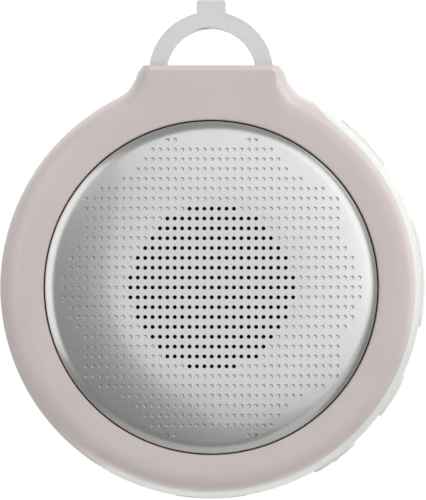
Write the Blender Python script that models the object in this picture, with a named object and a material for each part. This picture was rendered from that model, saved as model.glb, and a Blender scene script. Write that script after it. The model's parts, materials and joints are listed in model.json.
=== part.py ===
"""A round waterproof shower speaker with a suction cup, a hanging loop and side buttons.

Lengths below are in millimetres and MM turns them into metres. The speaker's axis is the Y axis
and the wall is the plane y = 0. A point is given by its radius from the axis, its angle (degrees
anticlockwise from +X, seen from the front) and its depth, the distance out from the wall, so the
front faces -Y.
"""

import math

import bmesh
import bpy
from mathutils import Matrix, Vector

MM = 0.001
GAP = 0.3  # between pieces that touch or sit in each other
GAP_ANGLE = 0.4  # degrees that the same gap takes round the body

# Outer shape of the body
BODY_RADIUS = 42.9
EQUATOR = 33.0  # depth of the widest section
REAR_FACE = 14.0
REAR_RADIUS = 37.5
REAR_POWER = 2.4  # squareness of the rounding towards the rear
CROWN = 47.0  # depth of the bezel's front
CROWN_RADIUS = 37.0
FRONT_POWER = 2.6  # squareness of the rounding towards the front
PARTING = 20.0  # depth where the two shells meet
SHELL_WALL = 3.0
BEZEL_BORE = 33.85
LEDGE = 41.6  # rear of the bezel ring, where the baffle seats
LEDGE_RADIUS = 38.4

# Neck on top, which carries the hanging loop
NECK_TOP = 44.9
NECK_HALF_WIDTH = 14.8
NECK_CORNER = 1.1
NECK_FILLET = 7.5
NECK_REAR = 30.0
NECK_EDGE = (1.0, 1.3)  # width and height of its softened front edge

# Hanging loop
LOOP_PIVOT = 43.3  # height of its pivot, also the centre of its ring
LOOP_OUTER = 12.6
LOOP_INNER = 9.07
LOOP_DEPTH = 38.0
LOOP_THICKNESS = 3.0
LOOP_TAB_WIDTH = 5.9
LOOP_TAB_TOP = 58.2
LOOP_EYE = 1.6
PIN_RADIUS = 0.8
PIN_HALF = 14.1  # half its length

# Control strip and what sits in it; angles are (start, end)
STRIP_ANGLES = (-123.0, 60.0)
STRIP_DEPTHS = (22.9, 44.1)
STRIP_CORNER = 6.0
STRIP_THICKNESS = 1.5
BUTTON_DEPTHS = (29.0, 37.4)
BUTTON_PROUD = 0.5
BUTTON_SINK = 1.1  # how far a button's underside lies below the body's surface
BUTTON_CORNER = 2.2
BUTTONS = {
    "power_button": (35.0, 52.0),
    "volume_rocker": (-11.0, 19.0),
    "play_button": (-37.5, -24.0),
    "call_button": (-61.0, -47.0),
}
ROCKER_ARM = 9.0  # degrees from the rocker's pivot to each plunger
PLUNGER_RADIUS = 1.2
PLUNGER_TIP = 39.7
SWITCH_BASE = 37.9
SWITCH_BODY = (2.2, 0.9)  # radius and height
SWITCH_KEY = (1.2, 1.2)
BOARD_ANGLES = (-66.0, 56.0)  # flexible board behind the switches
BOARD_RADII = (37.1, 37.6)
BOARD_DEPTHS = (30.0, 36.8)
PORT_ANGLES = (-100.0, -80.0)
PORT_DEPTHS = (28.4, 38.4)

# Grille
GRILLE_RADIUS = 33.6
GRILLE_FACE = 49.8  # the dome stands proud of the bezel
GRILLE_EDGE = 48.3  # depth where the dome meets the rolled rim
GRILLE_SHEET = 0.7
GRILLE_RIM = 31.4  # radius where the rolled rim starts
RIM_ROLL = 1.8
HOLE_FIELD = 16.7
HOLE_RADIUS = 0.8  # a coarse lattice: every second hole each way, at twice the size
HOLE_PITCH = (3.0, 4.0)
HOLE_SIDES = 5

# Driver
BAFFLE_DEPTHS = (39.0, 41.3)
BAFFLE_RADIUS = 38.1
BAFFLE_BORE = 17.7
BOSS_CIRCLE = 32.0
POST_TOP = 22.6  # of the rear shell's screw posts
HEAD_SEAT = 17.2  # depth of the seats of the case screws' heads
CASE_SCREW_ANGLES = (40, 140, 220, 320)
QUARTER_ANGLES = (45, 135, 225, 315)  # of the baffle's and the driver's screws
BAFFLE_SCREW_CIRCLE = 36.3
DRIVER_SCREW_CIRCLE = 20.9

# Screws: head radius, head height, length under the head and depth of the tip
CASE_SCREW = (2.4, 1.7, 16.1, 33.0)
BAFFLE_SCREW = (1.6, 1.1, 6.5, 45.2)
DRIVER_SCREW = (1.3, 0.9, 4.3, 40.4)
SCREW_SIDES = 10

# Suction cup
CUP_RADIUS = 30.4
CUP_LIP = 27.6


# ---------------------------------------------------------------- helpers


def point(radius, angle, depth):
    """The place, in metres, of a radius, an angle in degrees and a depth."""
    turn = math.radians(angle)
    return Vector((radius * math.cos(turn), -depth, radius * math.sin(turn))) * MM


def barrel(depth):
    """Radius of the body's outer surface at a depth."""
    if depth >= EQUATOR:
        share = min((depth - EQUATOR) / (CROWN - EQUATOR), 1.0)
        reach = (1 - share**FRONT_POWER) ** (1 / FRONT_POWER)
        return CROWN_RADIUS + (BODY_RADIUS - CROWN_RADIUS) * reach
    share = min((EQUATOR - depth) / (EQUATOR - REAR_FACE), 1.0)
    reach = (1 - share**REAR_POWER) ** (1 / REAR_POWER)
    return REAR_RADIUS + (BODY_RADIUS - REAR_RADIUS) * reach


def spread(low, high, count):
    """count numbers from low to high, both included."""
    return [low + (high - low) * i / (count - 1) for i in range(count)]


def finish(name, bm, material, sharp=35.0):
    """Makes the object of a bmesh, with its faces pointing out and shaded smooth."""
    bmesh.ops.remove_doubles(bm, verts=bm.verts, dist=1e-7)
    bmesh.ops.recalc_face_normals(bm, faces=bm.faces)
    mesh = bpy.data.meshes.new(name)
    bm.to_mesh(mesh)
    bm.free()
    mesh.materials.append(material)
    mesh.shade_smooth()
    mesh.set_sharp_from_angle(angle=math.radians(sharp))
    obj = bpy.data.objects.new(name, mesh)
    bpy.context.collection.objects.link(obj)
    return obj


def turned(name, outline, material, steps=48, centre=(0.0, 0.0), tip=None):
    """A piece turned about an axis along Y through centre, an (x, z) place.

    outline is a list of (radius, depth). It is closed unless it starts and ends on the axis.
    tip, a matrix, is applied to the result, for pieces that aren't along Y.
    """
    bm = bmesh.new()
    verts = [bm.verts.new((radius * MM, -depth * MM, 0)) for radius, depth in outline]
    edges = [bm.edges.new(pair) for pair in zip(verts, verts[1:])]
    if outline[0][0] > 0:
        edges.append(bm.edges.new((verts[-1], verts[0])))
    bmesh.ops.spin(
        bm,
        geom=verts + edges,
        cent=(0, 0, 0),
        axis=(0, 1, 0),
        angle=math.tau,
        steps=steps,
        use_merge=True,
    )
    bmesh.ops.remove_doubles(bm, verts=bm.verts, dist=1e-7)
    move = tip or Matrix.Translation((centre[0] * MM, 0, centre[1] * MM))
    bm.transform(move)
    return finish(name, bm, material)


def ring(low, high, inner, outer):
    """The outline of a plain ring between two depths and two radii."""
    return [(outer, high), (outer, low), (inner, low), (inner, high)]


def disc(low, high, radius):
    """The outline of a plain disc between two depths."""
    return [(0, high), (radius, high), (radius, low), (0, low)]


def radial(angle, radius=0.0, depth=0.0):
    """A matrix that lays a piece made along Y outwards along a radius, its depth 0 at radius."""
    turn = Matrix.Rotation(math.radians(90 - angle), 4, "Y")
    return Matrix.Translation(point(radius, angle, depth)) @ turn @ Matrix.Rotation(
        math.radians(-90), 4, "X"
    )


def loft(name, sections, material, closed):
    """Joins sections, lists of points in order round each, side by side.

    With closed the last section joins the first one, else both ends are capped.
    """
    bm = bmesh.new()
    rows = [[bm.verts.new(place) for place in section] for section in sections]
    count = len(rows[0])
    pairs = list(zip(rows, rows[1:])) + ([(rows[-1], rows[0])] if closed else [])
    for first, second in pairs:
        for i in range(count):
            j = (i + 1) % count
            bm.faces.new((first[i], first[j], second[j], second[i]))
    if not closed:
        bm.faces.new(rows[0])
        bm.faces.new(rows[-1][::-1])
    bmesh.ops.triangulate(bm, faces=bm.faces)
    return finish(name, bm, material)


def wrapped(name, angles, depths, corner, inner, outer, material, edge=0.0, step=9.0):
    """A pad with rounded corners that follows the body's surface.

    angles and depths are its extents, inner and outer its offsets from the surface, and edge
    is how far its rim is rolled down.
    """
    length = math.radians(angles[1] - angles[0]) * BODY_RADIUS
    quarter = [math.radians(a) for a in (0, 25, 50, 90)]
    reach = [(corner * (1 - math.cos(a)), corner * (1 - math.sin(a))) for a in quarter]
    middle = max(int((angles[1] - angles[0]) / step), 2)
    inside = [(s, 0.0) for s in spread(corner, length - corner, middle + 1)[1:-1]]
    ends = [(length - s, inset) for s, inset in reach[::-1]]
    sections = []
    for along, inset in reach + inside + ends:
        angle = angles[0] + math.degrees(along / BODY_RADIUS)
        low, high = depths[0] + inset, depths[1] - inset
        across = [low, *spread(low + 0.8, high - 0.8, 3), high]
        over = min(along, length - along)
        section = []
        for depth in across:
            near = min(over, depth - low, high - depth)
            drop = edge * max(0.0, 1 - near / 0.8)
            section.append(point(barrel(depth) + outer - drop, angle, depth))
        for depth in across[::-1]:
            section.append(point(barrel(depth) + inner, angle, depth))
        sections.append(section)
    return loft(name, sections, material, closed=False)


def block(name, size, centre, material, turn=0.0, bevel=0.0):
    """A box of (width, depth, height) at centre (x, depth, z), turned about Y, its edges cut."""
    bm = bmesh.new()
    bmesh.ops.create_cube(bm, size=1.0)
    bm.transform(Matrix.Diagonal((size[0] * MM, size[1] * MM, size[2] * MM, 1)))
    if bevel:
        bmesh.ops.bevel(
            bm, geom=bm.edges[:], offset=bevel * MM, segments=1, affect="EDGES"
        )
    place = Matrix.Translation((centre[0] * MM, -centre[1] * MM, centre[2] * MM))
    bm.transform(place @ Matrix.Rotation(math.radians(turn), 4, "Y"))
    return finish(name, bm, material)


def tool(obj):
    """Makes an object a cutter or a helper, which isn't part of the model."""
    obj.hide_render = True
    obj.display_type = "WIRE"
    return obj


def combine(obj, others, operation):
    """Cuts others from obj, or joins them to it, with a Boolean modifier each."""
    for other in others:
        tool(other)
        modifier = obj.modifiers.new(operation.lower() + "_" + other.name, "BOOLEAN")
        modifier.operation = operation
        modifier.object = other
    return obj


def cut(obj, *others):
    return combine(obj, others, "DIFFERENCE")


def join(obj, *others):
    return combine(obj, others, "UNION")


def pivot(obj, place):
    """Moves an object's origin to place without moving its shape."""
    obj.data.transform(Matrix.Translation(-place))
    obj.location = place
    return obj


def smooth_path(nodes, steps=3):
    """Points along a smooth curve through nodes, steps of them to each stretch."""
    path = [nodes[0]]
    for i, (start, end) in enumerate(zip(nodes, nodes[1:])):
        before = nodes[max(i - 1, 0)]
        after = nodes[min(i + 2, len(nodes) - 1)]
        slope = end - before
        bend = 2 * before - 5 * start + 4 * end - after
        twist = 3 * start - before - 3 * end + after
        for step in range(1, steps + 1):
            t = step / steps
            path.append(start + (slope * t + bend * t**2 + twist * t**3) / 2)
    return path


def wire(name, places, radius, material):
    """An insulated lead along a smooth curve through places, (x, depth, z)."""
    control = bpy.data.curves.new(name + "_guide", "CURVE")
    control.dimensions = "3D"
    path = smooth_path([Vector((x, -depth, z)) * MM for x, depth, z in places])
    spline = control.splines.new("POLY")
    spline.points.add(len(path) - 1)
    for spot, place in zip(spline.points, path):
        spot.co = (*place, 1)
    control.bevel_depth = radius * MM
    control.bevel_resolution = 2
    control.use_fill_caps = True
    control.materials.append(material)
    obj = bpy.data.objects.new(name, control)
    bpy.context.collection.objects.link(obj)
    return obj


def finish_material(name, colour, roughness, metallic=0.0, alpha=1.0):
    material = bpy.data.materials.new(name)
    material.use_nodes = True
    shader = material.node_tree.nodes["Principled BSDF"]
    shader.inputs["Base Color"].default_value = (*colour, 1)
    shader.inputs["Roughness"].default_value = roughness
    shader.inputs["Metallic"].default_value = metallic
    shader.inputs["Alpha"].default_value = alpha
    material.diffuse_color = (*colour, alpha)
    return material


def screw(name, centre, form, material):
    """A pan-head screw along Y with its head to the rear and a shank half as wide as the head."""
    radius, height, length, tip_depth = form
    base = tip_depth - length
    outline = [
        (0, tip_depth),
        (radius * 0.5, tip_depth - 0.5),
        (radius * 0.5, base),
        (radius, base),
        (radius * 0.9, base - height),
        (0, base - height),
    ]
    return turned(name, outline, material, SCREW_SIDES, centre)


def spots(name, radius, angles):
    """Numbered names and (x, z) places at a radius and some angles."""
    for i, angle in enumerate(angles, start=1):
        turn = math.radians(angle)
        yield f"{name}_{i}", (radius * math.cos(turn), radius * math.sin(turn))


def screw_holes(name, circle, angles, form, low, high, material):
    """Cutters for the shanks of a ring of screws, from depth low to depth high."""
    hole = disc(low, high, form[0] * 0.5 + GAP)
    return [
        turned(spot, hole, material, SCREW_SIDES, centre)
        for spot, centre in spots(name, circle, angles)
    ]


# ---------------------------------------------------------------- shells


def outline_radius(angle):
    """Radius of the front view's outline: the round body with the neck's fillets and top."""
    off = abs(angle - 90.0)
    if off > 40:
        return BODY_RADIUS
    turn = math.radians(off)
    fillet_x = NECK_HALF_WIDTH + NECK_FILLET
    fillet_z = math.sqrt((BODY_RADIUS + NECK_FILLET) ** 2 - fillet_x**2)
    if off >= math.degrees(math.atan2(fillet_x, fillet_z)):
        return BODY_RADIUS
    # a ray at this angle meets the fillet's circle, the neck's side or its top
    across, up = math.sin(turn), math.cos(turn)
    along = across * fillet_x + up * fillet_z
    inside = NECK_FILLET**2 - (fillet_x**2 + fillet_z**2 - along**2)
    side = along - math.sqrt(inside) if inside > 0 else NECK_TOP / up
    top = NECK_TOP / up
    corner = (NECK_HALF_WIDTH + NECK_TOP - NECK_CORNER) / (across + up)
    return min(side, top, corner)


def softness(angle):
    """How much of the bezel's wide rounding is left at an angle: 1 on the ring, 0 at the neck."""
    off = abs(angle - 90.0)
    share = min(max((off - 16.2) / 2.6, 0.0), 1.0)
    return share * share * (3 - 2 * share)


def shell_section(angle):
    """The front shell's section at an angle: round the outside, then back along the inside."""
    soft = softness(angle)
    extra = outline_radius(angle) - BODY_RADIUS
    width = NECK_EDGE[0] + (BODY_RADIUS - CROWN_RADIUS - NECK_EDGE[0]) * soft
    height = NECK_EDGE[1] + (CROWN - EQUATOR - NECK_EDGE[1]) * soft
    power = 2 / FRONT_POWER
    outside = [(BEZEL_BORE, CROWN - 0.3), (BEZEL_BORE + 0.5, CROWN)]
    for turn in (0, 22, 42, 62, 90):
        lean = math.radians(turn)
        radius = BODY_RADIUS + extra - width * (1 - math.sin(lean) ** power)
        outside.append((radius, CROWN - height * (1 - math.cos(lean) ** power)))
    outside.append((BODY_RADIUS + extra, NECK_REAR + 1.2))
    outside += [(barrel(depth), depth) for depth in (NECK_REAR, 25.5, PARTING + GAP)]
    inside = [
        (barrel(depth) - SHELL_WALL, depth) for depth in (PARTING + GAP, 25.5, 33)
    ]
    inside += [
        (barrel(38.7) - SHELL_WALL, 38.7),
        (LEDGE_RADIUS, 38.7),
        (LEDGE_RADIUS, LEDGE),
        (BEZEL_BORE, LEDGE),
    ]
    return [point(radius, angle, depth) for radius, depth in outside + inside]


def front_shell(material):
    """Rose front shell: bezel ring, side wall and neck, recessed for strip, loop and screws."""
    neck_side = math.degrees(math.atan2(NECK_HALF_WIDTH, NECK_TOP - NECK_CORNER))
    neck_corner = math.degrees(math.atan2(NECK_HALF_WIDTH - NECK_CORNER, NECK_TOP))
    half = [0.0, 9.0, neck_corner, neck_side, 19.8, 22.5, 26.4, 31.0]
    angles = sorted({90 + side * off for off in half for side in (-1, 1)})
    angles += spread(128.5, 411.5, 37)
    shell = loft(
        "front_shell", [shell_section(angle) for angle in angles], material, True
    )
    recess = wrapped(
        "strip_recess",
        (STRIP_ANGLES[0] - GAP_ANGLE, STRIP_ANGLES[1] + GAP_ANGLE),
        (STRIP_DEPTHS[0] - GAP, STRIP_DEPTHS[1] + GAP),
        STRIP_CORNER,
        -STRIP_THICKNESS - GAP,
        3.0,
        material,
    )
    pocket_width = 2 * (LOOP_OUTER + 0.35)
    pocket_front = LOOP_DEPTH + LOOP_THICKNESS / 2 + 0.6
    pocket = block(
        "loop_pocket",
        (pocket_width, pocket_front - NECK_REAR + 4, 10),
        (0, (pocket_front + NECK_REAR - 4) / 2, LOOP_PIVOT - LOOP_EYE - 0.4 + 5),
        material,
    )
    pin_hole = pin_shape("loop_pin_hole", PIN_RADIUS + 0.1, PIN_HALF + 0.1, material)
    cuts = [recess, pocket, pin_hole]
    for name, angle in plunger_places():
        shaft = disc(-4, 4, PLUNGER_RADIUS + 0.35)
        tip = radial(angle, BODY_RADIUS - 3, button_centre())
        cuts.append(
            turned(name + "_plunger_hole", shaft, material, steps=10, tip=tip)
        )
    cuts.append(
        block("port_slot", (12.4, 6.4, 8), (0, port_centre(), -40.5), material)
    )
    cuts += screw_holes(
        "baffle_screw_hole",
        BAFFLE_SCREW_CIRCLE,
        QUARTER_ANGLES,
        BAFFLE_SCREW,
        LEDGE - 1,
        BAFFLE_SCREW[3] + 0.4,
        material,
    )
    return cut(shell, *cuts)


def rear_shell(material):
    """White rear shell: closed dish with a spigot into the front shell and a cup socket."""
    outline = [
        (0, REAR_FACE + 1.0),
        (14.6, REAR_FACE + 1.0),
        (14.6, REAR_FACE),
        (REAR_RADIUS - 1.5, REAR_FACE),
        (REAR_RADIUS, REAR_FACE + 0.15),
        *[(barrel(depth), depth) for depth in (14.6, 15.6, 17.2, PARTING)],
        (38.6, PARTING),
        (38.6, 21.3),
        (37.7, 21.3),
        (37.7, 22.9),
        (38.6, 22.9),
        (38.6, 24.0),
        (36.8, 24.0),
        (36.8, 18.6),
        (35.6, 16.8),
        (6.2, 16.8),
        (6.2, 21.4),
        (0, 21.4),
    ]
    shell = turned("rear_shell", outline, material, steps=40)
    stud_hole = turned("stud_hole", disc(10, 20.4, 2.9), material, steps=16)
    post = disc(REAR_FACE + 1.5, POST_TOP, 3.6)
    well = disc(REAR_FACE - 1, HEAD_SEAT, CASE_SCREW[0] + 0.5)
    posts, wells = [
        [
            turned(spot, outline, material, SCREW_SIDES, centre)
            for spot, centre in spots(name, BOSS_CIRCLE, CASE_SCREW_ANGLES)
        ]
        for name, outline in (("post", post), ("screw_well", well))
    ]
    holes = screw_holes(
        "post_hole",
        BOSS_CIRCLE,
        CASE_SCREW_ANGLES,
        CASE_SCREW,
        REAR_FACE - 1,
        POST_TOP + 1,
        material,
    )
    return cut(join(shell, *posts), stud_hole, *holes, *wells)


def housing_gasket(material):
    """Rubber ring in the rear shell's groove, which seals the two shells."""
    return turned("housing_gasket", ring(21.6, 22.6, 38.0, 38.85), material, steps=40)


# ---------------------------------------------------------------- front


def baffle(material):
    """Plate behind the grille that carries the driver, with four bosses for the case screws."""
    low, high = BAFFLE_DEPTHS
    plate = turned(
        "baffle", ring(low, high, BAFFLE_BORE, BAFFLE_RADIUS), material, steps=40
    )
    boss = disc(POST_TOP + 0.4, low + 1, 2.9)
    bosses = [
        turned(spot, boss, material, SCREW_SIDES, centre)
        for spot, centre in spots("boss", BOSS_CIRCLE, CASE_SCREW_ANGLES)
    ]
    holes = []
    for name, circle, angles, form, start, end in (
        ("boss_hole", BOSS_CIRCLE, CASE_SCREW_ANGLES, CASE_SCREW, 20, 33.5),
        ("baffle_hole", BAFFLE_SCREW_CIRCLE, QUARTER_ANGLES, BAFFLE_SCREW, 30, 45),
        ("driver_hole", DRIVER_SCREW_CIRCLE, QUARTER_ANGLES, DRIVER_SCREW, 30, 40.7),
    ):
        holes += screw_holes(name, circle, angles, form, start, end, material)
    return cut(join(plate, *bosses), *holes)


def grille_outline(lift, trim):
    """The grille's front line from its centre to the foot of its skirt, moved in by the sheet."""
    field = HOLE_FIELD + 0.8
    rise = GRILLE_FACE - GRILLE_EDGE
    outline = [(0, GRILLE_FACE - lift)]
    for share in (0.0, 0.5, 1.0):
        radius = field + (GRILLE_RIM - field) * share
        outline.append(
            (radius - trim * radius / GRILLE_RIM, GRILLE_FACE - lift - rise * share**2)
        )
    for turn in (45, 90):
        lean = math.radians(turn)
        outline.append(
            (
                GRILLE_RIM - trim + (GRILLE_RADIUS - GRILLE_RIM) * math.sin(lean),
                GRILLE_EDGE - lift - RIM_ROLL * (1 - math.cos(lean)),
            )
        )
    return outline + [(GRILLE_RADIUS - trim, LEDGE)]


def grille(material):
    """Domed metal grille with a rolled rim and a lattice of sound holes in its flat middle."""
    outline = grille_outline(0, 0) + grille_outline(GRILLE_SHEET, GRILLE_SHEET)[::-1]
    sheet = turned("grille", outline, material, steps=40)
    bm = bmesh.new()
    columns, rows = (int(HOLE_FIELD / pitch) for pitch in HOLE_PITCH)
    for row in range(-rows, rows + 1):
        for column in range(-columns, columns + 1):
            x, z = column * HOLE_PITCH[0], row * HOLE_PITCH[1]
            if math.hypot(x, z) > HOLE_FIELD:
                continue
            hole = bmesh.ops.create_cone(
                bm,
                cap_ends=True,
                segments=HOLE_SIDES,
                radius1=HOLE_RADIUS * MM,
                radius2=HOLE_RADIUS * MM,
                depth=4 * MM,
            )
            turn = Matrix.Rotation(math.radians(90), 4, "X")
            place = Matrix.Translation((x * MM, -GRILLE_FACE * MM, z * MM))
            bmesh.ops.transform(bm, matrix=place @ turn, verts=hole["verts"])
    return cut(sheet, finish("sound_holes", bm, material))


def acoustic_cloth(material):
    """Fine waterproof cloth behind the grille."""
    outline = [
        (0, 48.5),
        (18, 48.5),
        (30.6, 47.1),
        (30.6, 46.8),
        (18, 48.2),
        (0, 48.2),
    ]
    return turned("acoustic_cloth", outline, material, steps=28)


# ---------------------------------------------------------------- driver


def driver(steel, ferrite, paper, rubber, copper, cloth):
    """The full-range driver, piece by piece from the back to the front."""
    turned(
        "driver_yoke",
        [(0, 30.0), (6.0, 30.0), (6.0, 23.7), (12.4, 23.7), (12.4, 22.2), (0, 22.2)],
        steel,
        steps=24,
    )
    turned("driver_magnet", ring(24.0, 27.8, 8.0, 13.0), ferrite, steps=24)
    turned("driver_top_plate", ring(28.1, 29.9, 7.2, 12.4), steel, steps=24)
    basket = turned(
        "driver_basket",
        [
            (22.9, 37.4),
            (22.9, 36.4),
            (19.0, 36.4),
            (14.4, 30.2),
            (8.2, 30.2),
            (8.2, 31.2),
            (13.8, 31.2),
            (18.2, 37.4),
        ],
        steel,
        steps=28,
    )
    windows = [
        block(name, (8.0, 3.6, 9.0), (x, 33.6, z), steel, turn=90 - angle)
        for angle, (name, (x, z)) in zip(
            QUARTER_ANGLES, spots("basket_window", 16.5, QUARTER_ANGLES)
        )
    ]
    holes = screw_holes(
        "basket_hole", DRIVER_SCREW_CIRCLE, QUARTER_ANGLES, DRIVER_SCREW, 35, 39, steel
    )
    cut(basket, *windows, *holes)
    turned(
        "driver_spider",
        [
            (7.5, 32.3),
            (9.6, 32.8),
            (11.6, 32.2),
            (13.8, 32.6),
            (13.8, 32.2),
            (11.6, 31.8),
            (9.6, 32.4),
            (7.5, 31.9),
        ],
        cloth,
        steps=24,
    )
    turned("voice_coil", ring(27.0, 34.4, 6.4, 6.9), copper, steps=24)
    turned(
        "driver_cone",
        [(7.3, 34.0), (15.7, 37.9), (15.7, 37.3), (7.3, 33.5)],
        paper,
        steps=32,
    )
    turned(
        "dust_cap",
        [(0, 37.4), (3.6, 36.9), (7.0, 35.2), (7.0, 34.7), (3.6, 36.4), (0, 36.9)],
        paper,
        steps=20,
    )
    turned(
        "driver_surround",
        [
            (16.0, 37.8),
            (16.8, 38.9),
            (17.6, 38.0),
            (20.0, 38.0),
            (20.0, 37.7),
            (17.3, 37.7),
            (16.8, 38.4),
            (16.3, 37.5),
        ],
        rubber,
        steps=32,
    )
    turned("driver_gasket", ring(38.25, 38.7, 18.0, 19.8), rubber, steps=32)


def screws(steel):
    """Case screws from the rear, baffle screws into the bezel ring and driver screws."""
    for name, circle, angles, form in (
        ("case_screw", BOSS_CIRCLE, CASE_SCREW_ANGLES, CASE_SCREW),
        ("baffle_screw", BAFFLE_SCREW_CIRCLE, QUARTER_ANGLES, BAFFLE_SCREW),
        ("driver_screw", DRIVER_SCREW_CIRCLE, QUARTER_ANGLES, DRIVER_SCREW),
    ):
        for spot, centre in spots(name, circle, angles):
            screw(spot, centre, form, steel)


# ---------------------------------------------------------------- controls


def button_centre():
    return sum(BUTTON_DEPTHS) / 2


def port_centre():
    return sum(PORT_DEPTHS) / 2


def plunger_places():
    """The name and angle of each button plunger; the rocker has two."""
    places = []
    for name, (start, end) in BUTTONS.items():
        middle = (start + end) / 2
        if name == "volume_rocker":
            places += [("volume_up", middle + ROCKER_ARM)]
            places += [("volume_down", middle - ROCKER_ARM)]
        else:
            places.append((name.replace("_button", ""), middle))
    return places


def control_strip(material):
    """White rubber strip let into the shell's side, open at each button and at the port."""
    strip = wrapped(
        "control_strip",
        STRIP_ANGLES,
        STRIP_DEPTHS,
        STRIP_CORNER,
        -STRIP_THICKNESS,
        0.0,
        material,
    )
    pads = {name: (angles, BUTTON_DEPTHS) for name, angles in BUTTONS.items()}
    pads["port"] = (PORT_ANGLES, PORT_DEPTHS)
    openings = []
    for name, ((start, end), (low, high)) in pads.items():
        openings.append(
            wrapped(
                name + "_opening",
                (start - GAP_ANGLE, end + GAP_ANGLE),
                (low - GAP, high + GAP),
                BUTTON_CORNER,
                -4.0,
                3.0,
                material,
            )
        )
    return cut(strip, *openings)


def buttons(material):
    """The power, play and call buttons and the volume rocker, with their plungers."""
    plungers = dict(plunger_places())
    for name, (start, end) in BUTTONS.items():
        pad = wrapped(
            name,
            (start, end),
            BUTTON_DEPTHS,
            BUTTON_CORNER,
            -BUTTON_SINK,
            BUTTON_PROUD,
            material,
            edge=0.35,
            step=3.0,
        )
        wanted, radius = (name.replace("_button", ""),), BODY_RADIUS
        if name == "volume_rocker":
            wanted, radius = ("volume_up", "volume_down"), BODY_RADIUS - BUTTON_SINK
        place = point(radius, (start + end) / 2, button_centre())
        shafts = []
        for key in wanted:
            length = BODY_RADIUS - 0.8 - PLUNGER_TIP
            tip = radial(plungers[key], PLUNGER_TIP, button_centre())
            shaft = disc(0, length, PLUNGER_RADIUS)
            shafts.append(turned(key + "_plunger", shaft, material, steps=10, tip=tip))
        for shaft in shafts:
            pivot(shaft, place)
        join(pivot(pad, place), *shafts)


def switches(steel, board):
    """The tact switch under each plunger and the flexible board that joins them."""
    outline = [
        (0, SWITCH_KEY[1]),
        SWITCH_KEY,
        (SWITCH_KEY[0], SWITCH_BODY[1]),
        SWITCH_BODY,
        (SWITCH_BODY[0], 0),
        (0, 0),
    ]
    for name, angle in plunger_places():
        base = radial(angle, SWITCH_BASE, button_centre())
        turned(name + "_switch", outline, steel, steps=10, tip=base)
    (inner, outer), (low, high) = BOARD_RADII, BOARD_DEPTHS
    corners = ((outer, high), (outer, low), (inner, low), (inner, high))
    sections = [
        [point(radius, angle, depth) for radius, depth in corners]
        for angle in spread(*BOARD_ANGLES, 17)
    ]
    loft("button_board", sections, board, closed=False)


def port(rubber, steel, board):
    """Charging socket on its small board, and the hinged rubber cover over it."""
    cover = wrapped(
        "port_cover",
        PORT_ANGLES,
        PORT_DEPTHS,
        BUTTON_CORNER,
        -BUTTON_SINK,
        0.15,
        rubber,
        edge=0.3,
        step=4.0,
    )
    plug = block("port_plug", (6.6, 3.0, 1.8), (0.2, port_centre(), -41.2), rubber)
    hinge = point(BODY_RADIUS, PORT_ANGLES[0], port_centre())
    pivot(plug, hinge)
    join(pivot(cover, hinge), plug)
    socket = block(
        "charging_socket", (7.6, 2.8, 5.4), (0, port_centre(), -37.1), steel, bevel=0.4
    )
    mouth = block("socket_mouth", (6.6, 1.8, 5), (0, port_centre(), -38.4), steel)
    cut(socket, mouth)
    block("port_board", (17, 1.2, 8.0), (0, port_centre() - 2.3, -34.0), board)


# ---------------------------------------------------------------- electronics


def electronics(board, dark, foil, red, rubber):
    """Main board with its parts, battery, and the leads between them."""
    block("main_board", (15.5, 1.2, 31), (24.6, 20.6, 0), board)
    block("radio_module", (9.0, 1.8, 12.5), (25.5, 22.5, 6.5), foil, bevel=0.2)
    block("amplifier_chip", (5.0, 1.2, 5.0), (24.5, 22.3, -6.0), dark)
    block("microphone", (3.0, 1.2, 3.8), (30.2, 22.3, -10.5), foil)
    block("status_light", (1.6, 0.9, 1.6), (30.0, 22.0, -4.6), foil)
    block("battery", (17.8, 7.4, 29), (-24.2, 21.5, 0), foil, bevel=1.0)
    block("battery_pad", (16.0, 0.5, 25), (-24.2, 17.35, 0), rubber)
    wire(
        "battery_lead",
        [
            (-21, 20.4, -15.5),
            (-15, 19.6, -20),
            (-3, 19.2, -22),
            (9, 20.0, -21),
            (17.6, 22.7, -14.5),
        ],
        0.55,
        red,
    )
    wire(
        "driver_lead",
        [(19, 22.1, -2.0), (18.8, 25.5, -2.0), (18.7, 29, -1.5), (18.0, 33, -1.0)],
        0.5,
        rubber,
    )
    wire(
        "port_lead",
        [(5, 29.6, -32), (7, 27.8, -28), (12, 25.4, -20), (18.5, 22.2, -9)],
        0.5,
        rubber,
    )


# ---------------------------------------------------------------- loop and cup


def pin_shape(name, radius, half_length, material):
    """A rod along X at the loop's pivot."""
    tip = Matrix.Translation(
        (0, -LOOP_DEPTH * MM, LOOP_PIVOT * MM)
    ) @ Matrix.Rotation(math.radians(90), 4, "Z")
    outline = disc(-half_length, half_length, radius)
    return turned(name, outline, material, steps=14, tip=tip)


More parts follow.
